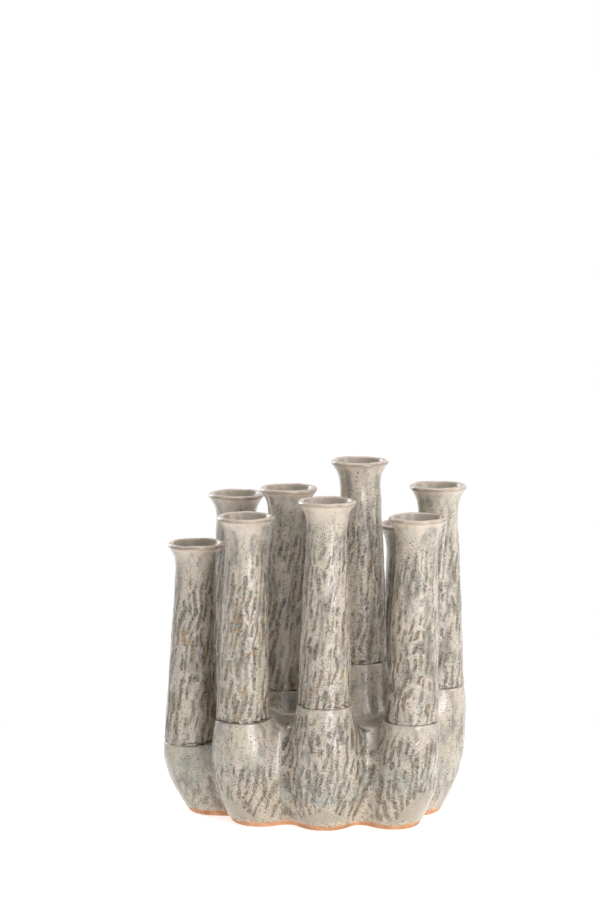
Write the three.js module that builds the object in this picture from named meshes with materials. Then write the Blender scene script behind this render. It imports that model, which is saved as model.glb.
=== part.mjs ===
// Cluster bud vase: ten tall fired-clay tubes, each luted on a pot of one lobed body with a bare foot.
// Millimetres, +Z up, the front towards -Y. Nothing on it moves.

import * as THREE from "three";

const { lerp } = THREE.MathUtils;

// Tube sizes. Heights along a tube are measured down from its top.
const tubeLength = 177;
const tubeFootRadius = 22.3;
const neckRadius = 17.6;
const neckDrop = 24;
const lipRadius = 24.8;
const lipDrop = 4.2;
const mouthRadius = 19.2;
const wall = 4.2;
const pressDepth = 0.55;
const pressWaves = 5;
const pressTwist = 1.4;

// Body sizes. A lobe swells from the foot to its belly, then draws in to the collar that carries a tube.
const slabThickness = 6;
const slabEdge = 1.5;
const footRadius = 20.5;
const bellyRadius = 26.5;
const bellyHeight = 40;
const collarLip = 0.5;
const collarHeight = 3.5;
const lobeBlend = 13;
const footDraw = 0.8;
const drawHeight = 100;
const potFloor = 5;
const wellRounding = 6;
const wellStep = 0.3;
const luteGap = 0.3;

// Webs of clay fill in between each three lobes that stand closer than webReach.
const webRadius = 0;
const webHeight = 83;

// The cluster: pitch is one step along a row, and rowDepth one row to the next.
const pitch = 73;
const rowDepth = 60;
const webReach = 1.2 * pitch;
const drawCentre = new THREE.Vector2(8, 0);
const cells = [
  { name: "front_left", column: -0.87, row: -0.78, collar: 94, lean: 3.7 },
  { name: "front_middle", column: 0.1, row: -1.06, collar: 110, lean: 2.1 },
  { name: "front_right", column: 1.13, row: -0.98, collar: 95, lean: 4.2 },
  { name: "middle_far_left", column: -1.51, row: 0, collar: 63, lean: 6.1 },
  { name: "middle_left", column: -0.38, row: 0, collar: 112, lean: 4.2 },
  { name: "middle_right", column: 0.55, row: 0, collar: 136, lean: -1.9 },
  { name: "middle_far_right", column: 1.47, row: 0, collar: 114, lean: -0.7 },
  { name: "back_left", column: -0.98, row: 1, collar: 98, lean: 0.8 },
  { name: "back_middle", column: 0.08, row: 1.04, collar: 82, lean: 0 },
  { name: "back_right", column: 1.11, row: 0.98, collar: 71, lean: 0 },
];

// How finely the surfaces are divided.
const tubeSides = 24;
const potSides = 26;
const slabSides = 112;
const cornerSearch = 90;
const slabSearch = 0.2;
const firstStep = 9.5;
const stepGrowth = 1.24;

const glaze = { color: "#b4ab99", roughness: 0.28, metalness: 0 };
const potGlaze = { color: "#9c988c", roughness: 0.25, metalness: 0 };
const bareClay = { color: "#b0683f", roughness: 0.9, metalness: 0 };

const boreRadius = neckRadius - wall;
const collarRadius = tubeFootRadius + collarLip;
const wellRadius = tubeFootRadius - wall - wellStep;
const turn = Math.PI * 2;

// Every pot has a ring at these levels, which keeps neighbours' contact faces in one plane between two.
const highestCollar = Math.max(...cells.map((cell) => cell.collar));
const levels = [slabThickness];
for (let step = firstStep; levels.at(-1) < highestCollar; step *= stepGrowth) {
  levels.push(levels.at(-1) + step);
}

// How far the lobes have spread from the middle at one height: least at the foot, 1 from drawHeight up.
function easedSpread(height) {
  const below = Math.max(0, 1 - height / drawHeight);
  return 1 - (1 - footDraw) * below * below;
}

function spread(height) {
  const above = levels.findIndex((level) => level >= height);
  if (above < 1) return easedSpread(height);
  const low = levels[above - 1];
  const share = (height - low) / (levels[above] - low);
  return lerp(easedSpread(low), easedSpread(levels[above]), share);
}

for (const cell of cells) {
  cell.collarCentre = new THREE.Vector2(cell.column * pitch, cell.row * rowDepth);
  cell.reach = cell.collarCentre.clone().sub(drawCentre).divideScalar(spread(cell.collar));
}

function centreOf(cell, height) {
  return cell.reach.clone().multiplyScalar(spread(height)).add(drawCentre);
}

// Radius of one lobe: two quarter waves, foot to belly and belly to collar.
function lobeRadius(cell, height) {
  if (height < bellyHeight) {
    const rise = Math.sin((height / bellyHeight) * (Math.PI / 2));
    return lerp(footRadius, bellyRadius, rise);
  }
  const fall = Math.sin(((cell.collar - height) / (cell.collar - bellyHeight)) * (Math.PI / 2));
  return lerp(collarRadius, bellyRadius, fall);
}

// A web stands between three neighbours and rises to the lowest of their collars, or to webHeight.
const standClose = (one, two) => one.collarCentre.distanceTo(two.collarCentre) < webReach;
const webs = cells.flatMap((one, place) => {
  const near = cells.slice(place + 1).filter((cell) => standClose(one, cell));
  return near.flatMap((two, rank) =>
    near.slice(rank + 1).filter((three) => standClose(two, three)).map((three) => [one, two, three]),
  );
});

function webAt(web, height) {
  const centre = new THREE.Vector2();
  web.forEach((cell) => centre.add(centreOf(cell, height).divideScalar(web.length)));
  const top = Math.min(webHeight, ...web.map((cell) => cell.collar));
  return { centre, radius: webRadius, over: Math.max(0, height - top) };
}

// What the body's skin needs to know about one height.
function sectionAt(height) {
  const lobes = cells.map((cell) => ({
    cell,
    centre: centreOf(cell, height),
    radius: height > cell.collar ? collarRadius : lobeRadius(cell, height),
    over: Math.max(0, height - cell.collar),
  }));
  return { lobes, masses: [...lobes, ...webs.map((web) => webAt(web, height))] };
}

// Below zero inside the body: the distances to lobes and webs, blended into one smooth skin.
function bodyField(x, y, section) {
  let sum = 0;
  for (const { centre, radius, over } of section.masses) {
    const across = Math.hypot(x - centre.x, y - centre.y) - radius;
    const distance = over > 0 ? Math.hypot(Math.max(0, across), 2 * over) : across;
    sum += Math.exp(-distance / lobeBlend);
  }
  return -lobeBlend * Math.log(sum);
}

// What ends a pot in one direction: a neighbour's contact face, or the blended skin.
function edgeOfPot(cell, angle, section) {
  const { centre: start } = section.lobes.find((lobe) => lobe.cell === cell);
  const cos = Math.cos(angle);
  const sin = Math.sin(angle);
  let reach = 2 * pitch;
  let limit = "skin";
  for (const { cell: other, centre } of section.lobes) {
    if (other === cell) continue;
    const apart = centre.distanceTo(start);
    const along = ((centre.x - start.x) * cos + (centre.y - start.y) * sin) / apart;
    const faceReach = (apart / 2 - luteGap / 2) / along;
    if (along > 0 && faceReach < reach) {
      reach = faceReach;
      limit = other.name;
    }
  }
  const fieldAt = (distance) => bodyField(start.x + distance * cos, start.y + distance * sin, section);
  let inside = 0;
  let outside = 2;
  while (outside < reach && fieldAt(outside) < 0) {
    inside = outside;
    outside += 2;
  }
  outside = Math.min(outside, reach);
  if (fieldAt(outside) < 0) return { reach, limit };
  for (let halving = 0; halving < 12; halving += 1) {
    const middle = (inside + outside) / 2;
    if (fieldAt(middle) < 0) inside = middle;
    else outside = middle;
  }
  return { reach: inside, limit: "skin" };
}

// Directions in which one limit of a pot gives way to the next.
function cornersOfPot(cell, section) {
  const step = turn / cornerSearch;
  const limitAt = (angle) => edgeOfPot(cell, angle, section).limit;
  const limits = Array.from({ length: cornerSearch }, (_, place) => limitAt(place * step));
  const corners = [];
  for (let place = 0; place < cornerSearch; place += 1) {
    if (limits[place] === limits[(place + 1) % cornerSearch]) continue;
    let low = place * step;
    let high = low + step;
    for (let halving = 0; halving < 14; halving += 1) {
      const middle = (low + high) / 2;
      if (limitAt(middle) === limits[place]) low = middle;
      else high = middle;
    }
    corners.push(low);
  }
  return corners;
}

// Angles of a pot's next ring: a vertex stays in each corner, and the others share the turn between them.
function pinnedAngles(angles, corners) {
  const signedGap = (from, to) => THREE.MathUtils.euclideanModulo(to - from + Math.PI, turn) - Math.PI;
  const pins = new Map();
  for (const corner of corners) {
    const byNearness = angles.map((angle, side) => [Math.abs(signedGap(angle, corner)), side]);
    byNearness.sort((one, two) => one[0] - two[0]);
    const side = byNearness.map((entry) => entry[1]).find((candidate) => !pins.has(candidate));
    pins.set(side, angles[side] + signedGap(angles[side], corner));
  }
  const sides = [...pins.keys()].sort((one, two) => one - two);
  const result = [...angles];
  sides.forEach((side, place) => {
    const last = place === sides.length - 1;
    const nextSide = last ? sides[0] + angles.length : sides[place + 1];
    const nextAngle = last ? pins.get(sides[0]) + turn : pins.get(nextSide);
    for (let between = side; between < nextSide; between += 1) {
      const share = (between - side) / (nextSide - side);
      const angle = lerp(pins.get(side), nextAngle, share);
      result[between % angles.length] = between < angles.length ? angle : angle - turn;
    }
  });
  return result;
}

function evenAngles(count) {
  return Array.from({ length: count }, (_, side) => (side / count) * turn);
}

function pointAround(centre, angle, radius, height) {
  return new THREE.Vector3(centre.x + radius * Math.cos(angle), centre.y + radius * Math.sin(angle), height);
}

// The outside rings of a pot, foot to shoulder.
function potRings(cell, heights) {
  let angles = evenAngles(potSides);
  return heights.map((height) => {
    const section = sectionAt(height);
    const start = centreOf(cell, height);
    angles = pinnedAngles(angles, cornersOfPot(cell, section));
    return angles.map((angle) => pointAround(start, angle, edgeOfPot(cell, angle, section).reach, height));
  });
}

// Solid from rings of equal count, counter-clockwise from above: round two hubs, or joined end to end.
function loft(rings, hubs) {
  const sides = rings[0].length;
  const positions = rings.flat().flatMap((point) => point.toArray());
  const faces = [];
  const bands = hubs ? rings.length - 1 : rings.length;
  for (let band = 0; band < bands; band += 1) {
    const lower = band * sides;
    const upper = ((band + 1) % rings.length) * sides;
    for (let side = 0; side < sides; side += 1) {
      const next = (side + 1) % sides;
      faces.push(lower + side, lower + next, upper + next, lower + side, upper + next, upper + side);
    }
  }
  if (hubs) {
    const last = (rings.length - 1) * sides;
    for (const [hub, first, upward] of [[hubs[0], 0, false], [hubs[1], last, true]]) {
      const centre = positions.length / 3;
      positions.push(...hub.toArray());
      for (let side = 0; side < sides; side += 1) {
        const here = first + side;
        const next = first + ((side + 1) % sides);
        faces.push(centre, upward ? here : next, upward ? next : here);
      }
    }
  }
  const geometry = new THREE.BufferGeometry();
  geometry.setAttribute("position", new THREE.Float32BufferAttribute(positions, 3));
  geometry.setIndex(faces);
  geometry.computeVertexNormals();
  return geometry;
}

function add(group, name, geometry, finish) {
  const mesh = new THREE.Mesh(geometry, new THREE.MeshStandardMaterial(finish));
  mesh.name = name;
  group.add(mesh);
}

function hubAt(centre, height) {
  return new THREE.Vector3(centre.x, centre.y, height);
}

// The bare foot slab follows the lobes, found from outside in towards the middle.
function slabGeometry() {
  const ring = (height, inset) => {
    const section = sectionAt(height);
    return evenAngles(slabSides).map((angle) => {
      let point = pointAround(drawCentre, angle, 3 * pitch, height);
      for (let reach = 3 * pitch; bodyField(point.x, point.y, section) > -inset; reach -= slabSearch) {
        if (reach < pitch / 2) break;
        point = pointAround(drawCentre, angle, reach, height);
      }
      return point;
    });
  };
  const rings = [ring(0, slabEdge), ring(slabEdge, slabEdge / 4), ring(slabThickness, 0)];
  return loft(rings, [hubAt(drawCentre, 0), hubAt(drawCentre, slabThickness)]);
}

// A pot is a cup: blended skin and flat contact faces outside, and inside a round well below the bore.
function potGeometry(cell) {
  const shoulder = cell.collar - collarHeight;
  const heights = levels.filter((level) => level < shoulder - firstStep / 2);
  const rings = potRings(cell, [...heights, shoulder]);
  const wellFloor = slabThickness + potFloor;
  const circle = (radius, height) => {
    const centre = centreOf(cell, height);
    return evenAngles(potSides).map((angle) => pointAround(centre, angle, radius, height));
  };
  rings.push(circle(collarRadius, cell.collar), circle(wellRadius, cell.collar));
  rings.push(circle(wellRadius, bellyHeight));
  rings.push(circle(wellRadius - wellRounding / 4, wellFloor + wellRounding));
  rings.push(circle(wellRadius - wellRounding, wellFloor));
  return loft(rings, [slabThickness, wellFloor].map((height) => hubAt(centreOf(cell, height), height)));
}

// Outside and inside of a tube as [radius, drop from the top], foot to lip and back down the bore.
const tubeProfile = [
  [tubeFootRadius, tubeLength],
  [lerp(tubeFootRadius, neckRadius, 0.32), tubeLength * 0.68],
  [lerp(tubeFootRadius, neckRadius, 0.72), tubeLength * 0.36],
  [neckRadius, neckDrop],
  [lerp(neckRadius, lipRadius, 0.18), neckDrop * 0.58],
  [lerp(neckRadius, lipRadius, 0.47), neckDrop * 0.36],
  [lerp(neckRadius, lipRadius, 0.9), lipDrop * 1.36],
  [lipRadius, lipDrop],
  [lerp(mouthRadius, lipRadius, 0.84), lipDrop * 0.5],
  [lerp(mouthRadius, lipRadius, 0.45), lipDrop * 0.12],
  [lerp(mouthRadius, lipRadius, 0.12), 0],
  [mouthRadius, lipDrop * 0.24],
  [lerp(boreRadius, mouthRadius, 0.41), neckDrop * 0.4],
  [boreRadius, neckDrop],
  [lerp(tubeFootRadius, neckRadius, 0.4) - wall, tubeLength * 0.6],
  [tubeFootRadius - wall, tubeLength],
];

// A leaning tube keeps its rings level, and its outside shows the shallow hollows of hand pressing.
function tubeGeometry(cell, order) {
  const foot = centreOf(cell, cell.collar);
  const outsideRings = tubeProfile.findIndex(([, drop]) => drop === neckDrop);
  const rings = tubeProfile.map(([radius, drop], place) => {
    const rise = 1 - drop / tubeLength;
    const centre = foot.clone().add(new THREE.Vector2(cell.lean * rise, 0));
    const swell = place <= outsideRings ? Math.sin((Math.PI * drop) / (tubeLength + neckDrop)) : 0;
    return evenAngles(tubeSides).map((angle) => {
      const wave = Math.sin(pressWaves * angle + order + pressTwist * turn * rise);
      const pressed = radius - pressDepth * swell * (1 + wave);
      return pointAround(centre, angle, pressed, cell.collar + tubeLength * rise);
    });
  });
  return loft(rings);
}

const vase = new THREE.Group();
add(vase, "base_slab", slabGeometry(), bareClay);
cells.forEach((cell, order) => {
  add(vase, `pot_${cell.name}`, potGeometry(cell), potGlaze);
  add(vase, `tube_${cell.name}`, tubeGeometry(cell, order), glaze);
});

// The origin lies under the middle of the whole.
const bounds = new THREE.Box3().setFromObject(vase);
const middle = bounds.getCenter(new THREE.Vector3());
vase.position.set(-middle.x, -middle.y, -bounds.min.z);

export default vase;
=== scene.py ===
import itertools
import math
from types import SimpleNamespace

import bpy
import numpy as np
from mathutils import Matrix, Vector


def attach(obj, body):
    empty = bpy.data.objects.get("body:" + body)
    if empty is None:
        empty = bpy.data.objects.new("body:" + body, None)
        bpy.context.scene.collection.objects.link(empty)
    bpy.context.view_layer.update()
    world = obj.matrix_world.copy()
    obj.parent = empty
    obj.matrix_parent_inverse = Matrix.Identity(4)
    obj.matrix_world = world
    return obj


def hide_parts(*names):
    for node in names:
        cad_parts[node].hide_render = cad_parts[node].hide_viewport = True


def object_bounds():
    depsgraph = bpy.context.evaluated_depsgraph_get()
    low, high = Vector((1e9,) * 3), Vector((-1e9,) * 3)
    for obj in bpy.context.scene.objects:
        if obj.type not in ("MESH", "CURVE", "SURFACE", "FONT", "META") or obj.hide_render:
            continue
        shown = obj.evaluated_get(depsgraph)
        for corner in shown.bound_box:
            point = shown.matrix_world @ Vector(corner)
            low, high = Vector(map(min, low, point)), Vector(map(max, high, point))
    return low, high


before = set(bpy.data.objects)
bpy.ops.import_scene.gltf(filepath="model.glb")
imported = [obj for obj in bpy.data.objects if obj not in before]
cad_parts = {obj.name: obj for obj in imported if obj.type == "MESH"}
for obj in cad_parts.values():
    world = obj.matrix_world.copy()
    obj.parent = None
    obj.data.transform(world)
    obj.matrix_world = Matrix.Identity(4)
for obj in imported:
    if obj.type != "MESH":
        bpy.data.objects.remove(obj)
cadLow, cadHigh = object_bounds()

mm = 0.001
turn = 2 * math.pi

# The ten places of the cluster, as the CAD names them. Seeds count along this list.
placeNames = [
    "front_left", "front_middle", "front_right",
    "middle_far_left", "middle_left", "middle_right", "middle_far_right",
    "back_left", "back_middle", "back_right",
]

# Seeds of the noise. A tube adds its order in that list to its own, and gouges count in steps.
seeds = {
    "tubeGouges": 100, "tubeGougeStep": 7, "patch": 300, "press": 500, "dent": 600,
    "tear": 700, "seam": 750, "lip": 900, "crest": 950,
    "potGouges": 60, "potGougeStep": 11, "potPress": 21,
    "glazeLine": 33, "pool": 88, "border": 91, "warm": 93,
}

# Large odd numbers that scatter neighbouring places.
scatter = {
    "x": 374761393, "y": 668265263, "z": 1440662683, "seed": 1274126177,
    "first": 1103515245, "second": 2654435761,
}


# Small tools

def linear(hexColour):
    channels = [int(hexColour[place:place + 2], 16) / 255 for place in (1, 3, 5)]
    return [c / 12.92 if c <= 0.04045 else ((c + 0.055) / 1.055) ** 2.4 for c in channels] + [1.0]


def addNode(tree, kind, settings=None, links=None):
    # Settings go to the node or to its sockets. A link is another node's socket, or else a plain value.
    node = tree.nodes.new(kind)
    for key, value in (settings or {}).items():
        if isinstance(key, str) and hasattr(node, key):
            setattr(node, key, value)
        else:
            node.inputs[key].default_value = value
    for key, source in (links or {}).items():
        if isinstance(source, bpy.types.NodeSocket):
            tree.links.new(source, node.inputs[key])
        else:
            node.inputs[key].default_value = source
    return node


def emptyTree(holder):
    holder.use_nodes = True
    holder.node_tree.nodes.clear()
    return holder.node_tree


def putInScene(name, data):
    holder = bpy.data.objects.new(name, data)
    bpy.context.scene.collection.objects.link(holder)
    return holder


def chance(x, y, z, seed):
    # An even share from 0 to 1 for each whole-numbered place, the same on every run.
    s = scatter
    mixed = (x * s["x"] + y * s["y"] + z * s["z"] + seed * s["seed"]) & 0xFFFFFFFF
    mixed = ((mixed ^ (mixed >> 13)) * s["first"]) & 0xFFFFFFFF
    mixed = ((mixed ^ (mixed >> 16)) * s["second"]) & 0xFFFFFFFF
    return ((mixed ^ (mixed >> 15)) & 0xFFFF) / 0xFFFF


def latticeNoise(points, seed):
    # Smooth noise from 0 to 1 that changes over one whole step.
    cell = np.floor(points).astype(np.int64)
    part = points - cell
    part = part * part * (3 - 2 * part)
    total = np.zeros(len(points))
    for corner in range(8):
        bits = np.array([corner & 1, (corner >> 1) & 1, (corner >> 2) & 1])
        x, y, z = (cell + bits).T
        total += chance(x, y, z, seed) * np.prod(np.where(bits, part, 1 - part), axis=1)
    return total


def layeredNoise(points, seed, layers=3):
    total = sum(latticeNoise(points * 2 ** layer, seed + layer) / 2 ** layer for layer in range(layers))
    return total / sum(1 / 2 ** layer for layer in range(layers))


def smoothStep(low, high, values):
    share = np.clip((values - low) / (high - low), 0, 1)
    return share * share * (3 - 2 * share)


def drawn(pair, lot):
    # A pair is the least there is, and what a lot of 1 adds to it.
    least, more = pair
    return least + more * lot


def meshFromFaces(name, points, quads, marks):
    mesh = bpy.data.meshes.new(name)
    mesh.vertices.add(len(points))
    mesh.vertices.foreach_set("co", (np.asarray(points) * mm).astype(np.float32).ravel())
    mesh.loops.add(quads.size)
    mesh.loops.foreach_set("vertex_index", quads.astype(np.int32).ravel())
    mesh.polygons.add(len(quads))
    mesh.polygons.foreach_set("loop_start", np.arange(0, quads.size, 4, dtype=np.int32))
    mesh.update(calc_edges=True)
    mesh.polygons.foreach_set("use_smooth", np.ones(len(quads), dtype=bool))
    for key, values in marks.items():
        layer = mesh.attributes.new(key, "FLOAT", "POINT")
        layer.data.foreach_set("value", np.asarray(values, dtype=np.float32))
    mesh.validate()
    return putInScene(name, mesh)


# Where the CAD has each tube: the middle of its foot and of its top, in mm.

sameLevel = 0.05  # mm


def ringMiddle(node, top):
    points = np.array([vertex.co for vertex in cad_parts[node].data.vertices]) / mm
    level = points[:, 2].max() if top else points[:, 2].min()
    ring = points[np.abs(points[:, 2] - level) < sameLevel]
    return (ring.min(0) + ring.max(0)) / 2


feet = {name: ringMiddle("tube_" + name, False) for name in placeNames}
tops = {name: ringMiddle("tube_" + name, True) for name in placeNames}
print("frame read:", len(placeNames), "tubes")


# Marks of the maker's tool: short upright gouges in staggered columns, leaning a little to the right.

gouges = {
    "column": 6.6, "row": 12, "depth": 0.8,  # mm round the wall, along it and into it
    "halfWidth": 2.1, "halfLength": 7.4,  # mm, of a full-sized mark
    "width": (0.65, 0.7), "length": (0.5, 0.9), "strength": (0.45, 0.65),
    "missing": 0.14, "jitter": 0.5, "lean": 0.12, "tilt": 0.2,
    "wanderWidth": 2.4, "wanderSpan": 17, "wanderRing": 2,  # columns don't run quite straight
    "columnSeed": 5, "markSeed": 9,
}


def gougeDepth(angle, height, radius, seed):
    # From 0 on the plain wall to 1 in the deepest gouge.
    # Each cell of a staggered grid holds one mark at most.
    g = gouges
    columns = round(turn * radius / g["column"])
    ring = [np.cos(angle) * g["wanderRing"], np.sin(angle) * g["wanderRing"], height / g["wanderSpan"]]
    wander = latticeNoise(np.column_stack(ring), seed) - 0.5
    across = angle / turn * columns + (2 * g["wanderWidth"] * wander - g["lean"] * height) / g["column"]
    column = np.floor(across).astype(np.int64)
    deepest = np.zeros(len(angle))
    for sideStep in (-1, 0, 1):
        own = column + sideStep
        place = own % columns
        offset = chance(place, 0 * place, 0 * place, seed + g["columnSeed"])
        up = height / g["row"] + offset
        row = np.floor(up).astype(np.int64)
        for rowStep in (-1, 0, 1):
            at = row + rowStep
            lot = [chance(place, at, 0 * place + kind, seed + g["markSeed"]) for kind in range(6)]
            aside = (across - own - 0.5 - (lot[0] - 0.5) * g["jitter"]) * g["column"]
            above = (up - at - 0.5 - (lot[1] - 0.5) * g["jitter"]) * g["row"]
            aside = aside - (lot[2] - 0.5) * 2 * g["tilt"] * above
            width = g["halfWidth"] * drawn(g["width"], lot[3])
            length = g["halfLength"] * drawn(g["length"], lot[4])
            mark = np.clip(1 - (aside / width) ** 2, 0, 1) * np.clip(1 - (above / length) ** 2, 0, 1) ** 0.5
            strength = np.where(lot[5] < g["missing"], 0, drawn(g["strength"], lot[5]))
            deepest = np.maximum(deepest, mark * strength)
    return np.clip(deepest, 0, 1)


# Tubes

tubeShape = {
    "length": 177, "footRadius": 22.4, "neckRadius": 17.6, "neckDrop": 24, "wall": 4.2,
    "lipRadius": 24.9, "lipDrop": 2.7, "mouthRadius": 20.2, "seamHeight": 4, "footGap": 0.05, "overTop": 0.4,
    "columns": 176, "rowHeight": 0.95, "seamRow": 0.4, "lipRow": 0.5, "boreRow": 2.2,  # how fine the skin is
}

# Relief in mm. Pairs ending in In are drops from the top, or shares of smoothTop, where the relief comes in.
tubeRelief = {
    "press": 0.8, "pressSpan": 24, "pressIn": (4, 30), "pressInside": 0.2,  # hollows of the potter's fingers
    "dent": 0.28, "dentSpan": 7, "dentStretch": 0.6,  # small dents between the gouges
    "patchRing": 1.1, "patchSpan": 34, "patchEdges": (0.25, 0.6), "patchShare": (0.5, 0.5),
    "smoothTop": 36, "gougeIn": (0.6, 2.6), "tintIn": (0.35, 1.5), "raised": 0.3,
    "lipWave": 1.1, "lipWaveRing": 1.6, "lipWaveIn": (30, 3),
}

# The torn, broken line where a tube's foot was pressed on its collar, in mm.
seamShape = {
    "height": 0.9, "width": 0.65, "wander": 7, "tearRing": 4, "tearPlace": 3.0,
    "dark": (0.1, 1.1), "depth": 0.55, "ledge": 0.35, "ledgeUp": 1.5, "ledgeWidth": 0.8,
    "brokenRing": 2.6, "brokenEdges": (0.3, 0.6),
}

# What the glaze does on a tube. Pairs are drops from the top, in mm, between which it comes in.
tubeMarks = {
    "lip": (9, 3), "lipInBore": 0.55, "rust": (45, 85), "rustPatch": (0.1, 0.5),
    "stipple": (9, 26), "stippleShare": (0.35, 0.5), "pool": 0.25, "boreFrom": 1.5,
    "crest": 0.45, "crestDrop": 1.9, "crestWidth": 0.7, "crestOut": 2.5,
    "crestRing": 3, "crestEdges": (0.4, 0.65),
}

# How each tube came out: how deep it was tooled, how much iron shows, and how dark the seam under it is.
tubeFinish = {
    "front_left": {"tooling": 0.95, "iron": 0.95, "seam": 1.0},
    "front_middle": {"tooling": 0.95, "iron": 0.85, "seam": 0.6},
    "front_right": {"tooling": 0.85, "iron": 0.5, "seam": 0.95},
    "middle_far_left": {"tooling": 1.0, "iron": 1.0, "seam": 0.8},
    "middle_left": {"tooling": 0.75, "iron": 0.35, "seam": 0.7},
    "middle_right": {"tooling": 0.6, "iron": 0.3, "seam": 1.0},
    "middle_far_right": {"tooling": 0.75, "iron": 0.35, "seam": 0.65},
    "back_left": {"tooling": 0.8, "iron": 0.5, "seam": 0.8},
    "back_middle": {"tooling": 0.8, "iron": 0.4, "seam": 0.8},
    "back_right": {"tooling": 0.8, "iron": 0.5, "seam": 0.8},
}


def curveThrough(points, spacing):
    # A smooth curve through the points, in steps of about the spacing.
    points = np.array(points, float)
    padded = np.vstack([2 * points[0] - points[1], points, 2 * points[-1] - points[-2]])
    made = []
    for before, start, end, after in zip(padded, padded[1:], padded[2:], padded[3:]):
        count = max(2, int(np.linalg.norm(end - start) / spacing))
        for share in np.arange(count) / count:
            made.append(0.5 * (
                2 * start + (end - before) * share
                + (2 * before - 5 * start + 4 * end - after) * share ** 2
                + (3 * start - before - 3 * end + after) * share ** 3
            ))
    made.append(points[-1])
    return np.array(made)


def tubeProfile():
    # Radius and drop from the top: up the outside from the foot, over the lip, and down the bore.
    s = tubeShape
    bore = s["neckRadius"] - s["wall"]

    def slope(share):
        return s["footRadius"] + (s["neckRadius"] - s["footRadius"]) * share

    seamTop = (slope(0.02), s["length"] - s["seamHeight"])
    lipStart = (s["lipRadius"] - 0.8, s["lipDrop"] + 1.4)
    lipEnd = (s["mouthRadius"] - 0.4, 2.2)
    seam = curveThrough([(slope(0), s["length"] - 0.1), seamTop], s["seamRow"])
    wall = curveThrough([
        seamTop, (slope(0.05), s["length"] * 0.92), (slope(0.3), s["length"] * 0.7),
        (slope(0.68), s["length"] * 0.4), (s["neckRadius"] + 0.35, s["neckDrop"] * 1.7),
        (s["neckRadius"], s["neckDrop"]), (s["neckRadius"] + 0.9, s["neckDrop"] * 0.63),
        (s["neckRadius"] + 2.6, s["neckDrop"] * 0.42), (s["neckRadius"] + 4.9, s["neckDrop"] * 0.26),
        lipStart,
    ], s["rowHeight"])
    lip = curveThrough([
        lipStart, (s["lipRadius"], s["lipDrop"]), (s["lipRadius"] - 0.3, s["lipDrop"] * 0.45),
        (s["lipRadius"] - 1.5, 0.25), (s["mouthRadius"] + 1.4, 0.2), (s["mouthRadius"] + 0.2, 0.9), lipEnd,
    ], s["lipRow"])
    inside = curveThrough([
        lipEnd, (bore + 2.8, s["neckDrop"] * 0.42), (bore + 0.1, s["neckDrop"]),
        (slope(0.5) - s["wall"], s["length"] * 0.5), (s["footRadius"] - s["wall"], s["length"] - 0.2),
    ], s["boreRow"])
    return np.vstack([seam[:-1], wall]), lip[1:], inside[1:]


def tubeGrid():
    # Rings of points on a tube's smooth skin, and where each point is on it.
    outside, lip, inside = tubeProfile()
    profile = np.vstack([outside, lip, inside])
    columns = tubeShape["columns"]
    angle = np.tile(np.arange(columns) / columns * turn, len(profile))
    drop = np.repeat(profile[:, 1], columns)
    rank = np.repeat(np.arange(len(profile)), columns)
    return SimpleNamespace(
        rings=len(profile), angle=angle, around=np.column_stack([np.cos(angle), np.sin(angle)]),
        radius=np.repeat(profile[:, 0], columns), drop=drop, height=tubeShape["length"] - drop,
        outer=rank < len(outside), aboveBore=rank < len(outside) + len(lip),
    )


def ringFaces(rings, columns):
    # Four-sided faces between rings that are joined end to end.
    start = np.arange(rings)[:, None] * columns + np.arange(columns)[None, :]
    after = np.arange(rings)[:, None] * columns + (np.arange(columns)[None, :] + 1) % columns
    above, aboveAfter = np.roll(start, -1, axis=0), np.roll(after, -1, axis=0)
    return np.stack([start, after, aboveAfter, above], axis=-1).reshape(-1, 4)


def pressedWall(grid, order):
    r = tubeRelief
    ring = grid.around * tubeShape["footRadius"] / r["pressSpan"] * 2
    hollows = layeredNoise(np.column_stack([ring, grid.height / r["pressSpan"]]), seeds["press"] + order, 2)
    fade = np.where(grid.outer, smoothStep(*r["pressIn"], grid.drop), r["pressInside"])
    return (hollows - 0.5) * 2 * r["press"] * fade


def dentedWall(grid, order):
    r = tubeRelief
    place = np.column_stack([grid.around * tubeShape["footRadius"], grid.height * r["dentStretch"]])
    dents = layeredNoise(place / r["dentSpan"], seeds["dent"] + order, 2)
    return (dents - 0.5) * 2 * r["dent"]


def seamDarkness(name, angle, order):
    # The tube and the pot under it share this, so that the broken line is one line.
    ring = np.column_stack([np.cos(angle), np.sin(angle), np.zeros(len(angle))])
    broken = layeredNoise(ring * seamShape["brokenRing"], seeds["seam"] + order, 2)
    return smoothStep(*seamShape["brokenEdges"], broken) * tubeFinish[name]["seam"]


def tornSeam(grid, name, order):
    s = seamShape
    place = np.column_stack([grid.around * s["tearRing"], np.full(len(grid.angle), s["tearPlace"])])
    level = s["height"] + (layeredNoise(place, seeds["tear"] + order, 3) - 0.5) * s["wander"]
    line = np.exp(-((grid.height - level) / s["width"]) ** 2)
    crack = grid.outer * np.clip(line * drawn(s["dark"], seamDarkness(name, grid.angle, order)), 0, 1)
    ledge = grid.outer * np.exp(-((grid.height - level - s["ledgeUp"]) / s["ledgeWidth"]) ** 2)
    return crack, ledge


def wornCrest(grid, radius, order):
    # The edge of the lip, where the glaze runs thin in places.
    m = tubeMarks
    crest = np.exp(-((grid.drop - m["crestDrop"]) / m["crestWidth"]) ** 2)
    crest = crest * (radius > tubeShape["mouthRadius"] + m["crestOut"])
    ring = np.column_stack([grid.around * m["crestRing"], np.zeros(len(grid.angle))])
    return crest * smoothStep(*m["crestEdges"], layeredNoise(ring, seeds["crest"] + order, 2))


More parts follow.
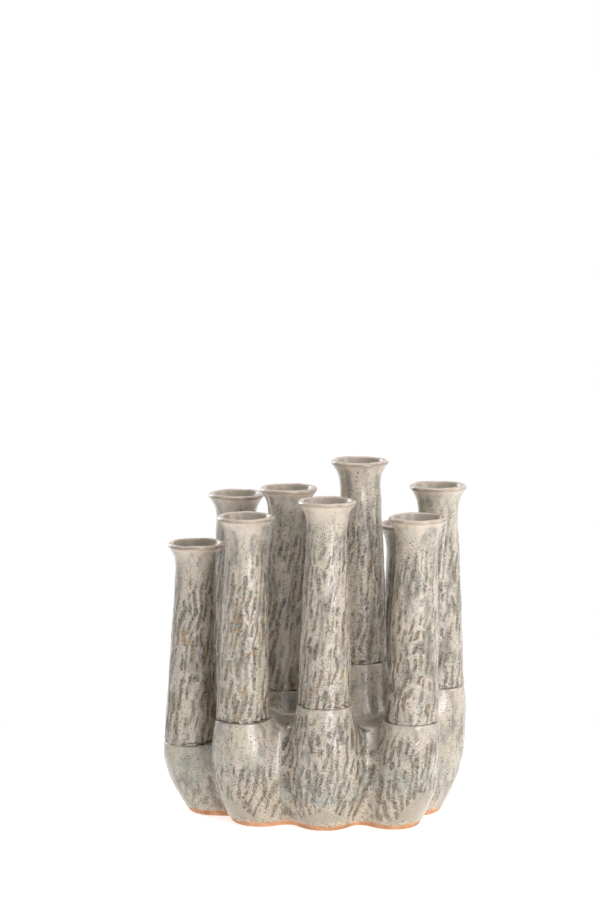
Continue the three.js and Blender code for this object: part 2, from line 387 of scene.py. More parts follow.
def makeTube(name, order):
    s, r, m = tubeShape, tubeRelief, tubeMarks
    own = tubeFinish[name]
    grid = tubeGrid()
    drop, outer = grid.drop, grid.outer
    around = grid.around

    # The tool bit harder in some patches, and left the neck smooth.
    patchNoise = layeredNoise(
        np.column_stack([around * r["patchRing"], grid.height / r["patchSpan"]]), seeds["patch"] + order, 2)
    patch = smoothStep(*r["patchEdges"], patchNoise)
    gougeSeed = seeds["tubeGouges"] + seeds["tubeGougeStep"] * order
    cut = gougeDepth(grid.angle, grid.height, s["footRadius"], gougeSeed)
    cut = cut * drawn(r["patchShare"], patch) * own["tooling"]
    tooled = smoothStep(*(r["smoothTop"] * share for share in r["gougeIn"]), drop) * outer
    wobble = pressedWall(grid, order) + dentedWall(grid, order) * tooled
    radius = grid.radius + wobble - gouges["depth"] * cut * tooled + r["raised"] * tooled
    cut = cut * smoothStep(*(r["smoothTop"] * share for share in r["tintIn"]), drop) * outer

    crack, ledge = tornSeam(grid, name, order)
    radius = radius - seamShape["depth"] * crack + seamShape["ledge"] * ledge
    crack = np.maximum(crack, m["crest"] * wornCrest(grid, radius, order))

    # The tube leans from the CAD's foot to its top, and its lip is a little wavy.
    foot, top = feet[name], tops[name]
    rise = 1 - drop / s["length"]
    centre = foot[None, :2] + (top - foot)[None, :2] * rise[:, None]
    ring = np.column_stack([around * r["lipWaveRing"], np.zeros(len(drop))])
    wave = layeredNoise(ring, seeds["lip"] + order, 2) - 0.5
    height = grid.height + s["footGap"]
    height = height + wave * r["lipWave"] * smoothStep(*r["lipWaveIn"], drop)
    points = np.column_stack([centre + around * radius[:, None], foot[2] + height])
    points[:, 2] = np.minimum(points[:, 2], top[2] + s["overTop"])

    return meshFromFaces("tube_skin_" + name, points, ringFaces(grid.rings, s["columns"]), {
        "cut": cut, "lip": smoothStep(*m["lip"], drop) * np.where(grid.aboveBore, 1, m["lipInBore"]),
        "crack": crack,
        "rust": own["iron"] * smoothStep(*m["rustPatch"], patch) * smoothStep(*m["rust"], drop),
        "pool": m["pool"] * patch,
        "stipple": outer * smoothStep(*m["stipple"], drop) * drawn(m["stippleShare"], patch),
        "inside": (~outer & (drop > m["boreFrom"])).astype(float),
    })


# Body: ten lobes blended into one skin, found as the zero surface of a distance field. Sizes in mm.

bodyShape = {
    "footRadius": 20.5, "bellyRadius": 26.5, "bellyHeight": 40, "collarRadius": 22.6,
    "blend": 6, "coreBlend": 13, "join": 2.5, "creaseDepth": 4,  # how softly lobes and core meet
    "footDraw": 0.8, "drawHeight": 100, "drawCentre": (8.56, 1.01),  # the lobes draw in towards the foot
    "webRadius": 3, "webHeight": 83, "webReach": 88,  # clay that fills in between three close lobes
    "wellRadius": 17.8, "wellFloor": 11, "seatGap": 1.4, "shoulderFall": 2, "footEdge": 1.5, "cell": 1.35,
    "uncarved": -1e3,  # far below any depth that is carved
}

# Relief in mm. Pairs ending in In are heights above the foot or drops below the collar, where it comes in.
potRelief = {
    "press": 1.6, "pressSpan": 17, "moveIn": (2, 12),
    "collarIn": (3, 9), "footIn": (6, 13), "bandEdge": (-4, 7), "bandShare": (0.25, 0.75),
    "glazeLine": 5.3, "glazeWave": 1.3, "glazeRipple": 0.09,
    "roll": 0.45, "rollUp": 1.2, "rollWidth": 1.3,  # the glaze ends in a rounded roll
    "flattest": 0.85, "pastWell": 1.5, "underFloor": 2, "sole": 0.6,  # what counts as the outside
}

# What the glaze does on a pot, in mm where it is a size.
potMarks = {
    "crack": 0.5, "crackIn": (0.9, 0.2), "crackInside": 2, "crackOutside": 1,
    "pool": 0.7, "poolCloud": (22, 22, 30), "poolEdges": (0.35, 0.75), "poolWidth": 12,
    "warmIn": (4, -3), "warmUnder": 12, "warmCloud": 12, "warmWander": 12,
    "borderCloud": 9, "borderWander": 9, "borderIn": (-1.5, 1.5), "stippleShare": (0.35, 0.6),
    "iron": 0.45, "wellFrom": 2,
}

# How each pot came out: how deep it was tooled, how far below its collar the glaze stays smooth,
# at what height the glaze pools, and what the belly gains.
potFinish = {
    "front_left": {"tooling": 0.8, "smooth": 37, "pool": 56, "swell": 2.5},
    "front_middle": {"tooling": 0.85, "smooth": 3, "pool": 38, "swell": 3},
    "front_right": {"tooling": 0.8, "smooth": 12, "pool": 46, "swell": 0},
    "middle_far_left": {"tooling": 0.35, "smooth": 20, "pool": 40, "swell": 0},
    "middle_left": {"tooling": 0.25, "smooth": 40, "pool": 40, "swell": 0},
    "middle_right": {"tooling": 0.25, "smooth": 40, "pool": 40, "swell": 0},
    "middle_far_right": {"tooling": 0.25, "smooth": 30, "pool": 40, "swell": 0},
    "back_left": {"tooling": 0.6, "smooth": 20, "pool": 40, "swell": 0},
    "back_middle": {"tooling": 0.7, "smooth": 10, "pool": 40, "swell": 0},
    "back_right": {"tooling": 0.6, "smooth": 20, "pool": 40, "swell": 0},
}


def lobeCentres(height):
    b = bodyShape
    middle = np.array(b["drawCentre"])

    def spread(level):
        return 1 - (1 - b["footDraw"]) * max(0, 1 - level / b["drawHeight"]) ** 2

    return {name: middle + (foot[:2] - middle) * spread(height) / spread(foot[2])
            for name, foot in feet.items()}


def webTriples():
    def close(one, two):
        return np.linalg.norm(feet[one][:2] - feet[two][:2]) < bodyShape["webReach"]

    return [three for three in itertools.combinations(placeNames, 3)
            if all(close(one, two) for one, two in itertools.combinations(three, 2))]


def lobeRadius(height, name):
    # Two quarter waves: foot to belly, and belly to collar.
    b = bodyShape
    collar = feet[name][2]
    widest = b["bellyRadius"] + potFinish[name]["swell"]
    if height < b["bellyHeight"]:
        return b["footRadius"] + (widest - b["footRadius"]) * math.sin(height / b["bellyHeight"] * turn / 4)
    fall = max(0, (collar - height) / (collar - b["bellyHeight"]))
    return b["collarRadius"] + (widest - b["collarRadius"]) * math.sin(fall * turn / 4)


def bodyField(xs, ys, zs):
    # Tight lobes over a wider core, so that the creases stay narrow and the middle is filled.
    b = bodyShape
    x, y = np.meshgrid(xs, ys, indexing="ij")
    webs = webTriples()
    layers = []
    for height in zs:
        lobes = np.zeros_like(x)
        core = np.zeros_like(x)
        carve = np.full_like(x, b["uncarved"])
        level = max(height, 0)
        edge = b["footEdge"] * max(0, 1 - level / b["footEdge"]) ** 2
        centres = lobeCentres(level)
        for web in webs:
            middle = sum(centres[name] for name in web) / len(web)
            over = max(0, level - min(b["webHeight"], *(feet[name][2] for name in web)))
            across = np.hypot(x - middle[0], y - middle[1]) - b["webRadius"]
            core += np.exp(-np.hypot(np.maximum(0, across), b["shoulderFall"] * over) / b["coreBlend"])
        for name, centre in centres.items():
            collar = feet[name][2]
            across = np.hypot(x - centre[0], y - centre[1])
            over = max(0, level - collar)
            skin = across - (b["collarRadius"] if over > 0 else lobeRadius(level, name)) + edge
            distance = np.hypot(np.maximum(0, skin), b["shoulderFall"] * over) if over > 0 else skin
            lobes += np.exp(-distance / b["blend"])
            core += np.exp(-distance / b["coreBlend"])
            seat = np.minimum(b["collarRadius"] + b["seatGap"] - across, height - collar)
            well = np.minimum(b["wellRadius"] - across, height - b["wellFloor"])
            carve = np.maximum(carve, np.maximum(seat, well))
        tight = -b["blend"] * np.log(lobes)
        wide = b["creaseDepth"] - b["coreBlend"] * np.log(core)
        field = -b["join"] * np.log(np.exp(-tight / b["join"]) + np.exp(-wide / b["join"]))
        layers.append(np.maximum(np.maximum(field, carve), -height))
    return np.stack(layers, axis=2)


def skinOfField(field, low, step):
    # One point in each cell that the surface crosses, and a face round each grid edge that it crosses.
    shape = np.array(field.shape) - 1
    sums = np.zeros((3, shape.prod()))
    counts = np.zeros(shape.prod())
    faces = []
    for axis in range(3):
        start = np.take(field, range(field.shape[axis] - 1), axis)
        end = np.take(field, range(1, field.shape[axis]), axis)
        at = np.argwhere((start < 0) != (end < 0))
        first, second = start[tuple(at.T)], end[tuple(at.T)]
        crossing = at.astype(float)
        crossing[:, axis] += first / (first - second)
        one, two = [other for other in range(3) if other != axis]
        around = []
        for stepOne, stepTwo in ((1, 1), (0, 1), (0, 0), (1, 0)):
            cell = at.copy()
            cell[:, one] -= stepOne
            cell[:, two] -= stepTwo
            index = np.ravel_multi_index(tuple(cell.T), tuple(shape))
            around.append(index)
            counts += np.bincount(index, minlength=len(counts))
            for part in range(3):
                sums[part] += np.bincount(index, weights=crossing[:, part], minlength=len(counts))
        ring = np.stack(around, axis=1)
        flip = (first > 0) != (axis == 1)
        ring[flip] = ring[flip][:, ::-1]
        faces.append(ring)
    used = np.flatnonzero(counts)
    rank = np.full(len(counts), -1)
    rank[used] = np.arange(len(used))
    points = (sums[:, used] / counts[used]).T * step + low
    return points, rank[np.vstack(faces)]


def bodySkin():
    # Points, faces and outward directions of the smooth body.
    step = bodyShape["cell"]
    pad = 3 * step
    low = np.array([cadLow.x, cadLow.y, 0]) / mm - pad
    high = np.array([cadHigh.x, cadHigh.y, 0]) / mm + pad
    high[2] = max(foot[2] for foot in feet.values()) + pad
    field = bodyField(*(np.arange(low[axis], high[axis], step) for axis in range(3)))
    points, quads = skinOfField(field, low, step)
    points[:, 2] = np.maximum(points[:, 2], 0)
    slopes = np.stack(np.gradient(field, step), axis=-1)
    nearest = np.clip(((points - low) / step).round().astype(int), 0, np.array(field.shape) - 1)
    normals = slopes[tuple(nearest.T)]
    normals /= np.linalg.norm(normals, axis=1, keepdims=True) + 1e-9
    return points, quads, normals


def nearestPots(points):
    # Which pot each point belongs to, and its direction and distance from the middle of that pot's collar.
    centres = np.array([feet[name][:2] for name in placeNames])
    away = points[:, None, :2] - centres[None]
    owner = np.argmin(np.linalg.norm(away, axis=2), axis=1)
    mine = away[np.arange(len(points)), owner]
    return owner, np.arctan2(mine[:, 1], mine[:, 0]), np.linalg.norm(mine, axis=1)


def skinPart(name, points, quads, marks):
    used = np.unique(quads)
    rank = np.full(len(points), -1)
    rank[used] = np.arange(len(used))
    return meshFromFaces(name, points[used], rank[quads], {key: mark[used] for key, mark in marks.items()})


def makeBody():
    b, r, m = bodyShape, potRelief, potMarks
    points, quads, normals = bodySkin()
    print("body skin:", len(points), "points")
    owner, angle, radial = nearestPots(points)
    tooling, band, poolLevel = (np.array([potFinish[name][key] for name in placeNames])[owner]
                                for key in ("tooling", "smooth", "pool"))
    below = np.array([feet[name][2] for name in placeNames])[owner] - points[:, 2]
    pastWell = radial > b["wellRadius"] + r["pastWell"]
    outer = (normals[:, 2] < r["flattest"]) & (pastWell | (points[:, 2] < b["wellFloor"] - r["underFloor"]))
    outer &= points[:, 2] > r["sole"]

    # Gouges fade towards the collar and the foot, and are faint in the smooth band.
    cut = np.zeros(len(points))
    for order in range(len(placeNames)):
        own = owner == order
        gougeSeed = seeds["potGouges"] + seeds["potGougeStep"] * order
        cut[own] = gougeDepth(angle[own], points[own, 2], b["bellyRadius"], gougeSeed)
    pastBand = smoothStep(*(band + edge for edge in r["bandEdge"]), below)
    fade = tooling * drawn(r["bandShare"], pastBand) * smoothStep(*r["collarIn"], below)
    fade = fade * smoothStep(*r["footIn"], points[:, 2]) * outer
    cut = cut * fade
    hollows = layeredNoise(points / r["pressSpan"], seeds["potPress"], 2) - 0.5
    ripple = layeredNoise(points * [r["glazeRipple"], r["glazeRipple"], 0], seeds["glazeLine"], 3)
    glazeLine = r["glazeLine"] + (ripple - 0.5) * 2 * r["glazeWave"]
    roll = np.exp(-((points[:, 2] - glazeLine - r["rollUp"]) / r["rollWidth"]) ** 2) * r["roll"]
    move = hollows * r["press"] - gouges["depth"] * cut
    move = move * smoothStep(*r["moveIn"], points[:, 2]) + roll
    points = points + normals * (move * outer)[:, None]
    points[:, 2] = np.maximum(points[:, 2], 0)
    height = points[:, 2]

    # Dark line where the glaze breaks along the joint with each tube.
    beside = (radial > b["wellRadius"] + m["crackInside"]) & (radial < b["collarRadius"] + m["crackOutside"])
    crack = smoothStep(*m["crackIn"], np.abs(below)) * beside
    for order, name in enumerate(placeNames):
        own = owner == order
        crack[own] *= m["crack"] * seamDarkness(name, angle[own], order)

    # The glaze pools cool and bluish round one level of each pot, and is warmer below it.
    belly = np.exp(-((height - poolLevel) / m["poolWidth"]) ** 2) * tooling
    cloud = smoothStep(*m["poolEdges"], layeredNoise(points / m["poolCloud"], seeds["pool"], 2))
    drift = (layeredNoise(points / m["warmCloud"], seeds["warm"], 2) - 0.5) * m["warmWander"]
    warm = smoothStep(*m["warmIn"], height - poolLevel + m["warmUnder"] + drift) * tooling
    border = band + (layeredNoise(points / m["borderCloud"], seeds["border"], 2) - 0.5) * m["borderWander"]
    inside = ~outer & (height > m["wellFrom"])
    least, more = m["stippleShare"]
    marks = {
        "cut": cut, "lip": np.zeros(len(points)), "crack": crack,
        "rust": np.array([tubeFinish[name]["iron"] for name in placeNames])[owner] * m["iron"],
        "pool": np.clip(cloud * m["pool"] + belly, 0, 1) * outer, "warm": warm,
        "stipple": outer * (least + more * tooling * smoothStep(*m["borderIn"], below - border)),
        "inside": inside.astype(float),
    }
    bare = height[quads].mean(axis=1) < glazeLine[quads].mean(axis=1)
    bare &= ~inside[quads].any(axis=1)
    glazed = skinPart("body_skin", points, quads[~bare], marks)
    unglazed = skinPart("foot_skin", points, quads[bare], marks)
    return glazed, unglazed


# Materials

glazeColours = {
    "cream": "#c0b6a4", "ash": "#918a80", "ridge": "#c9bbad", "teal": "#838f8b", "warm": "#bfae94",
    "halo": "#8b8575", "stain": "#554b3d", "olive": "#4b4336", "iron": "#2b2219", "soot": "#0c0a08",
    "rust": "#c98e35", "deepRust": "#83531f", "lip": "#d6c0ad", "crack": "#33231a", "inside": "#928a7a",
}

# Soft patches in the glaze: size in mm, where the noise starts to show and shows fully, and how it is drawn.
glazePatches = {
    "cloud": {"size": 13, "edges": (0.42, 0.66), "detail": 3, "squash": 0.4, "shift": 0.0},
    "ridge": {"size": 7, "edges": (0.42, 0.6), "detail": 1, "squash": 0.35, "shift": 3.0},
    "pool": {"size": 9, "edges": (0.4, 0.62), "detail": 3, "squash": 1.0, "shift": 0.0},
    "drift": {"size": 6, "edges": (0.45, 0.75), "detail": 2, "squash": 0.5, "shift": 5.0},
    "clump": {"size": 3, "edges": (0.36, 0.6), "detail": 1, "squash": 1.0, "shift": 9.0},
    "rust": {"size": 4.5, "edges": (0.515, 0.55), "detail": 3, "squash": 0.8, "shift": 7.0},
    "lip": {"size": 13, "edges": (0.2, 0.5), "detail": 3, "squash": 1.0, "shift": 2.0},
}

# How deep a gouge has to be before each of these starts, and is full.
cutEdges = {"halo": (0.0, 0.4), "speck": (0.08, 0.6), "rust": (0.1, 0.3), "iron": (0.1, 0.4)}

# How strongly each layer covers what lies under it.
glazeLayers = {
    "ridge": 0.8, "teal": 0.5, "warm": 0.6, "halo": 0.6, "stain": 0.35, "rust": 0.3, "fineSpeck": 0.8,
    "speck": 1.0, "pinhole": 0.9, "lip": 0.85, "inside": 0.6, "crack": 1.0,
}

# Specks of iron: sizes in mm, and the share of places that hold one.
ironSpecks = {
    "size": 1.25, "fineSize": 0.95, "chosen": (-0.04, 0.08), "reach": 0.56, "soft": 0.24,
    "everywhere": 0.03, "inCut": 0.12, "inClump": 0.75, "inDrift": 0.12, "inStipple": 0.07, "most": 0.9,
    "fineShare": 0.7, "fineInStipple": 0.55, "plainCover": 0.82, "cutCover": 0.15, "rustTint": (0.2, 0.3),
}

# The glassy surface, in mm where it is a size.
glazeSurface = {
    "noiseRoughness": 0.55, "peel": 1.5, "peelDepth": 0.25, "peelStrength": 0.35,
    "pitDepth": 0.3, "pitStrength": 0.5,
    "gloss": 10, "glossEdges": (0.3, 0.7), "glossRange": (0.2, 0.36),
    "pinhole": 4.2, "pinReach": 0.19, "pinSoft": 0.06, "pinChosen": (0.6, 0.66),
}


def patchMasks(tree, at):
    masks = {}
    for key, patch in glazePatches.items():
        place = addNode(tree, "ShaderNodeMapping",
                        {"Scale": (1, 1, patch["squash"]), "Location": (patch["shift"],) * 3}, {"Vector": at})
        noise = addNode(tree, "ShaderNodeTexNoise",
                        {"Scale": 1 / (patch["size"] * mm), "Detail": patch["detail"],
                         "Roughness": glazeSurface["noiseRoughness"]}, {"Vector": place.outputs[0]})
        masks[key] = addNode(tree, "ShaderNodeMapRange",
                             {"interpolation_type": "SMOOTHSTEP", "From Min": patch["edges"][0],
                              "From Max": patch["edges"][1]}, {"Value": noise.outputs[0]}).outputs[0]
    return masks


def speckMask(tree, at, size, crowd):
    # Round specks in the share of cells that crowd gives, and a tint of its own for each.
    s = ironSpecks
    cells = addNode(tree, "ShaderNodeTexVoronoi",
                    {"Scale": 1 / (size * mm), "Randomness": 1.0}, {"Vector": at})
    lots = addNode(tree, "ShaderNodeSeparateColor", None, {0: cells.outputs["Color"]})
    margin = addNode(tree, "ShaderNodeMath", {"operation": "SUBTRACT"}, {0: crowd, 1: lots.outputs[0]})
    chosen = addNode(tree, "ShaderNodeMapRange",
                     {"interpolation_type": "SMOOTHSTEP", "From Min": s["chosen"][0],
                      "From Max": s["chosen"][1]}, {"Value": margin.outputs[0]})
    within = addNode(tree, "ShaderNodeMath", {"operation": "SUBTRACT"},
                     {0: s["reach"], 1: cells.outputs["Distance"]})
    dot = addNode(tree, "ShaderNodeMapRange",
                  {"interpolation_type": "SMOOTHSTEP", "From Min": 0.0, "From Max": s["soft"]},
                  {"Value": within.outputs[0]})
    mask = addNode(tree, "ShaderNodeMath", {"operation": "MULTIPLY"},
                   {0: chosen.outputs[0], 1: dot.outputs[0]})
    return mask.outputs[0], lots.outputs[1]


def pinholeMask(tree, at):
    # A few round pinholes show in the smooth glaze of necks and lips.
    s = glazeSurface
    cells = addNode(tree, "ShaderNodeTexVoronoi",
                    {"Scale": 1 / (s["pinhole"] * mm), "Randomness": 1.0}, {"Vector": at})
    lots = addNode(tree, "ShaderNodeSeparateColor", None, {0: cells.outputs["Color"]})
    within = addNode(tree, "ShaderNodeMath", {"operation": "SUBTRACT"},
                     {0: s["pinReach"], 1: cells.outputs["Distance"]})
    hole = addNode(tree, "ShaderNodeMapRange",
                   {"interpolation_type": "SMOOTHSTEP", "From Min": 0.0, "From Max": s["pinSoft"]},
                   {"Value": within.outputs[0]})
    chosen = addNode(tree, "ShaderNodeMapRange",
                     {"interpolation_type": "SMOOTHSTEP", "From Min": s["pinChosen"][0],
                      "From Max": s["pinChosen"][1]}, {"Value": lots.outputs[0]})
    return addNode(tree, "ShaderNodeMath", {"operation": "MULTIPLY"},
                   {0: hole.outputs[0], 1: chosen.outputs[0]}).outputs[0]


def speckCrowds(tree, mark, patch, inCut):
    # Specks crowd in the cuts and thin out over the rest. The fine ones fill the stippled ground as well.
    s = ironSpecks
    clumped = addNode(tree, "ShaderNodeMath", {"operation": "MULTIPLY_ADD"},
                      {0: patch["clump"], 1: s["inClump"], 2: s["inCut"]}).outputs[0]
    crowd = addNode(tree, "ShaderNodeMath", {"operation": "MULTIPLY"},
                    {0: inCut["speck"], 1: clumped}).outputs[0]
    for mask, share in ((patch["drift"], s["inDrift"]), (mark["stipple"], s["inStipple"])):
        crowd = addNode(tree, "ShaderNodeMath", {"operation": "MULTIPLY_ADD"},
                        {0: mask, 1: share, 2: crowd}).outputs[0]
    crowd = addNode(tree, "ShaderNodeMath", {"operation": "ADD"}, {0: crowd, 1: s["everywhere"]}).outputs[0]
    crowd = addNode(tree, "ShaderNodeMath", {"operation": "MINIMUM"}, {0: crowd, 1: s["most"]}).outputs[0]
    stippled = addNode(tree, "ShaderNodeMath", {"operation": "MULTIPLY"},
                       {0: mark["stipple"], 1: s["fineInStipple"]}).outputs[0]
    fineCrowd = addNode(tree, "ShaderNodeMath", {"operation": "MULTIPLY_ADD"},
                        {0: crowd, 1: s["fineShare"], 2: stippled}).outputs[0]
    return crowd, fineCrowd


def glazeMaterial():
    # Stoneware under a glossy reactive glaze: cream where it lies thick, iron specks where it breaks thin.
    material = bpy.data.materials.new("reactiveGlazedStoneware")
    tree = emptyTree(material)
    colour = {key: linear(value) for key, value in glazeColours.items()}
    at = addNode(tree, "ShaderNodeTexCoord").outputs["Object"]
    mark = {key: addNode(tree, "ShaderNodeAttribute", {"attribute_name": key}).outputs["Fac"]
            for key in ("cut", "lip", "crack", "rust", "pool", "warm", "stipple", "inside")}
    patch = patchMasks(tree, at)
    inCut = {key: addNode(tree, "ShaderNodeMapRange",
                          {"interpolation_type": "SMOOTHSTEP", "From Min": low, "From Max": high},
                          {"Value": mark["cut"]}).outputs[0]
             for key, (low, high) in cutEdges.items()}
    crowd, fineCrowd = speckCrowds(tree, mark, patch, inCut)
    speck, tint = speckMask(tree, at, ironSpecks["size"], crowd)
    fineSpeck, fineTint = speckMask(tree, at, ironSpecks["fineSize"], fineCrowd)
    pinhole = pinholeMask(tree, at)

    # Where two masks meet: pools and lips in their clouds, rust in its patches inside the cuts.
    both = {}
    for key, one, two in (("pool", mark["pool"], patch["pool"]), ("lip", mark["lip"], patch["lip"]),
                          ("rustPatch", mark["rust"], patch["rust"])):
        both[key] = addNode(tree, "ShaderNodeMath", {"operation": "MULTIPLY"}, {0: one, 1: two}).outputs[0]
    rusty = addNode(tree, "ShaderNodeMath", {"operation": "MULTIPLY"},
                    {0: both["rustPatch"], 1: inCut["rust"]}).outputs[0]

    # Specks are iron to soot, golden where it rusts, and olive on the plain ground.
    golden = addNode(tree, "ShaderNodeMapRange",
                     {"interpolation_type": "SMOOTHSTEP", "From Min": ironSpecks["rustTint"][0],
                      "From Max": ironSpecks["rustTint"][1]}, {"Value": tint}).outputs[0]
    spotted = addNode(tree, "ShaderNodeMath", {"operation": "MULTIPLY"}, {0: rusty, 1: golden}).outputs[0]
    iron = addNode(tree, "ShaderNodeMix", {"data_type": "RGBA"},
                   {0: tint, 6: colour["iron"], 7: colour["soot"]}).outputs[2]
    rust = addNode(tree, "ShaderNodeMix", {"data_type": "RGBA"},
                   {0: fineTint, 6: colour["rust"], 7: colour["deepRust"]}).outputs[2]
    dark = addNode(tree, "ShaderNodeMix", {"data_type": "RGBA"}, {0: spotted, 6: iron, 7: rust}).outputs[2]
    fineDark = addNode(tree, "ShaderNodeMix", {"data_type": "RGBA"},
                       {0: inCut["iron"], 6: colour["olive"], 7: iron}).outputs[2]
    cover = addNode(tree, "ShaderNodeMath", {"operation": "MULTIPLY_ADD"},
                    {0: mark["cut"], 1: ironSpecks["cutCover"], 2: ironSpecks["plainCover"]}).outputs[0]
    covering = addNode(tree, "ShaderNodeMath", {"operation": "MULTIPLY"}, {0: speck, 1: cover}).outputs[0]

    # Each layer lies over the one before.
    base = addNode(tree, "ShaderNodeMix", {"data_type": "RGBA"},
                   {0: patch["cloud"], 6: colour["cream"], 7: colour["ash"]}).outputs[2]
    for key, mask, over in (
        ("ridge", patch["ridge"], colour["ridge"]), ("teal", both["pool"], colour["teal"]),
        ("warm", mark["warm"], colour["warm"]), ("halo", inCut["halo"], colour["halo"]),
        ("stain", mark["cut"], colour["stain"]), ("rust", rusty, colour["rust"]),
        ("fineSpeck", fineSpeck, fineDark), ("speck", covering, dark), ("pinhole", pinhole, colour["soot"]),
        ("lip", both["lip"], colour["lip"]), ("inside", mark["inside"], colour["inside"]),
        ("crack", mark["crack"], colour["crack"]),
    ):
        share = addNode(tree, "ShaderNodeMath", {"operation": "MULTIPLY"},
                        {0: mask, 1: glazeLayers[key]}).outputs[0]
        base = addNode(tree, "ShaderNodeMix", {"data_type": "RGBA"}, {0: share, 6: base, 7: over}).outputs[2]

    s = glazeSurface
    peel, cloudy = (addNode(tree, "ShaderNodeTexNoise",
                            {"Scale": 1 / (s[key] * mm), "Detail": detail, "Roughness": s["noiseRoughness"]},
                            {"Vector": at}).outputs[0] for key, detail in (("peel", 2), ("gloss", 3)))
    bump = addNode(tree, "ShaderNodeBump", {"Strength": s["peelStrength"], "Distance": s["peelDepth"] * mm},
                   {"Height": peel}).outputs[0]
    sunk = addNode(tree, "ShaderNodeMath", {"operation": "MAXIMUM"}, {0: speck, 1: pinhole}).outputs[0]
    pits = addNode(tree, "ShaderNodeBump",
                   {"Strength": s["pitStrength"], "Distance": s["pitDepth"] * mm, "invert": True},
                   {"Height": sunk, "Normal": bump}).outputs[0]
    gloss = addNode(tree, "ShaderNodeMapRange",
                    {"From Min": s["glossEdges"][0], "From Max": s["glossEdges"][1],
                     "To Min": s["glossRange"][0], "To Max": s["glossRange"][1]},
                    {"Value": cloudy}).outputs[0]
    shader = addNode(tree, "ShaderNodeBsdfPrincipled",
                     {"IOR": 1.5, "Coat Weight": 0.55, "Coat Roughness": 0.16, "Coat IOR": 1.5},
                     {"Base Color": base, "Roughness": gloss, "Normal": pits, "Coat Normal": bump})
    addNode(tree, "ShaderNodeOutputMaterial", None, {"Surface": shader.outputs[0]})
    return material


clayColours = {"clay": "#cf9d78", "dark": "#b0805c", "pale": "#dcb595", "grit": "#7d5c45"}

# Sizes in mm, and where each colour of the clay sits on the noise.
clayGrain = {
    "blotch": 9, "sand": 0.8, "darkAt": 0.35, "clayAt": 0.62, "paleAt": 0.8, "gritEdges": (0.66, 0.72),
    "bumpDepth": 0.2, "bumpStrength": 0.5, "roughness": 0.85,
}


def clayMaterial():
    # Unglazed fired stoneware, wiped clean before firing: matt, sandy, warm orange.
    material = bpy.data.materials.new("unglazedFiredClay")
    tree = emptyTree(material)
    colour = {key: linear(value) for key, value in clayColours.items()}
    g = clayGrain
    at = addNode(tree, "ShaderNodeTexCoord").outputs["Object"]
    blotch, sand = (addNode(tree, "ShaderNodeTexNoise", {"Scale": 1 / (g[key] * mm), "Detail": detail},
                            {"Vector": at}).outputs[0] for key, detail in (("blotch", 4), ("sand", 2)))
    tone = addNode(tree, "ShaderNodeValToRGB", None, {"Fac": blotch})
    for element, key in zip(tone.color_ramp.elements, ("dark", "clay")):
        element.position, element.color = g[key + "At"], colour[key]
    tone.color_ramp.elements.new(g["paleAt"]).color = colour["pale"]
    grit = addNode(tree, "ShaderNodeMapRange", {"From Min": g["gritEdges"][0], "From Max": g["gritEdges"][1]},
                   {"Value": sand}).outputs[0]
    base = addNode(tree, "ShaderNodeMix", {"data_type": "RGBA"},
                   {0: grit, 6: tone.outputs["Color"], 7: colour["grit"]}).outputs[2]
    bump = addNode(tree, "ShaderNodeBump", {"Strength": g["bumpStrength"], "Distance": g["bumpDepth"] * mm},
                   {"Height": sand}).outputs[0]
    shader = addNode(tree, "ShaderNodeBsdfPrincipled", {"Roughness": g["roughness"], "IOR": 1.5},
                     {"Base Color": base, "Normal": bump})
    addNode(tree, "ShaderNodeOutputMaterial", None, {"Surface": shader.outputs[0]})
    return material


glaze = glazeMaterial()
clay = clayMaterial()
print("materials made")

body, foot = makeBody()
body.data.materials.append(glaze)
foot.data.materials.append(clay)
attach(body, "root")
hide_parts(*["pot_" + name for name in placeNames])
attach(foot, "root")
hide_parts("base_slab")
print("body made")

for order, name in enumerate(placeNames):
    tube = makeTube(name, order)
    tube.data.materials.append(glaze)
    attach(tube, "root")
    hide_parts("tube_" + name)
print("tubes made")


# Studio, in metres. The lens and the sensor are in mm, the tilt in degrees.

studio = {
    "distance": 2.4, "eyeHeight": 0.6401, "aside": -0.0132, "tiltDown": 7.565, "focal": 111.34, "sensor": 36,
    "floorHalf": 6.0, "paper": "#f7f7f7", "floorGlow": 0.66, "whiteFrom": 0.2, "whiteFull": 0.45,
    "worldLevel": 0.17,
}

lamps = {
    "keySoftbox": {"place": (0.82, -1.46, 0.76), "aim": (0, 0, 0.7), "size": (0.65, 1.45), "watts": 19.5},
    "sideSoftbox": {"place": (1.7, -0.3, 0.8), "aim": (0, 0, 0.3), "size": (1.0, 1.2), "watts": 9},
    "fillSoftbox": {"place": (-1.5, -1.2, 0.8), "aim": (0, 0, 0.3), "size": (0.4, 1.2), "watts": 0.8},
    "topSoftbox": {"place": (0.1, 0.1, 1.8), "aim": (0, 0, 0), "size": (1.2, 1.2), "watts": 8},
    "backSoftbox": {"place": (-1.3, 1.5, 0.8), "aim": (0, 0, 0.2), "size": (0.9, 1.2), "watts": 13},
}


def seenDirectly(tree):
    # 1 for the camera and for what gloss mirrors, so that both show plain white.
    # 0 for every other ray, so that the light on the vase stays weaker.
    rays = addNode(tree, "ShaderNodeLightPath")
    return addNode(tree, "ShaderNodeMath", {"operation": "MAXIMUM"},
                   {0: rays.outputs["Is Camera Ray"], 1: rays.outputs["Is Glossy Ray"]}).outputs[0]


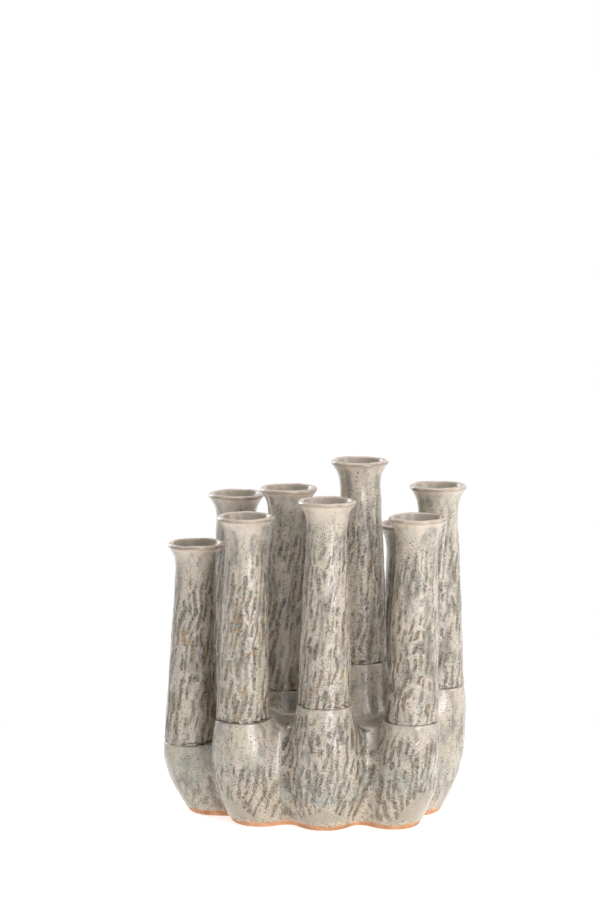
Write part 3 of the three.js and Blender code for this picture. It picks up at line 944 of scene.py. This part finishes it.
def sweepMaterial():
    # White sweep of matt paper: it takes the vase's shadow, and turns to pure white away from it.
    material = bpy.data.materials.new("whiteSweepPaper")
    tree = emptyTree(material)
    at = addNode(tree, "ShaderNodeTexCoord").outputs["Object"]
    away = addNode(tree, "ShaderNodeVectorMath", {"operation": "LENGTH"}, {0: at}).outputs["Value"]
    far = addNode(tree, "ShaderNodeMapRange",
                  {"interpolation_type": "SMOOTHSTEP", "From Min": studio["whiteFrom"],
                   "From Max": studio["whiteFull"]}, {"Value": away}).outputs[0]
    share = addNode(tree, "ShaderNodeMath", {"operation": "MULTIPLY"},
                    {0: far, 1: seenDirectly(tree)}).outputs[0]
    paper = addNode(tree, "ShaderNodeBsdfDiffuse", {"Color": linear(studio["paper"])})
    glow = addNode(tree, "ShaderNodeEmission", {"Strength": studio["floorGlow"]})
    near = addNode(tree, "ShaderNodeAddShader", None, {0: paper.outputs[0], 1: glow.outputs[0]})
    plain = addNode(tree, "ShaderNodeEmission", {"Strength": 1.0})
    both = addNode(tree, "ShaderNodeMixShader", None, {0: share, 1: near.outputs[0], 2: plain.outputs[0]})
    addNode(tree, "ShaderNodeOutputMaterial", None, {"Surface": both.outputs[0]})
    return material


def makeFloor():
    half = studio["floorHalf"]
    corners = [(-half, -half, 0), (half, -half, 0), (half, half, 0), (-half, half, 0)]
    mesh = bpy.data.meshes.new("floor")
    mesh.from_pydata(corners, [], [(0, 1, 2, 3)])
    mesh.materials.append(sweepMaterial())
    putInScene("floor", mesh)


def makeWorld():
    world = bpy.data.worlds.new("studioAir")
    bpy.context.scene.world = world
    tree = emptyTree(world)
    air, white = (addNode(tree, "ShaderNodeBackground", {"Color": linear("#ffffff"), "Strength": strength})
                  for strength in (studio["worldLevel"], 1.0))
    both = addNode(tree, "ShaderNodeMixShader", None,
                   {0: seenDirectly(tree), 1: air.outputs[0], 2: white.outputs[0]})
    addNode(tree, "ShaderNodeOutputWorld", None, {"Surface": both.outputs[0]})


def makeLamp(name, settings):
    lamp = bpy.data.lights.new(name, "AREA")
    lamp.shape = "RECTANGLE"
    lamp.size, lamp.size_y = settings["size"]
    lamp.energy = settings["watts"]
    holder = putInScene(name, lamp)
    holder.location = settings["place"]
    direction = Vector(settings["aim"]) - Vector(settings["place"])
    holder.rotation_euler = direction.to_track_quat("-Z", "Y").to_euler()


def makeCamera():
    camera = bpy.data.cameras.new("camera")
    camera.sensor_fit = "VERTICAL"
    camera.sensor_height = studio["sensor"]
    camera.lens = studio["focal"]
    holder = putInScene("camera", camera)
    holder.location = (studio["aside"], -studio["distance"], studio["eyeHeight"])
    holder.rotation_euler = (math.radians(90 - studio["tiltDown"]), 0, 0)
    bpy.context.scene.camera = holder


makeFloor()
makeWorld()
for name, settings in lamps.items():
    makeLamp(name, settings)
makeCamera()
bpy.context.scene.view_settings.view_transform = "Standard"
print("studio made")
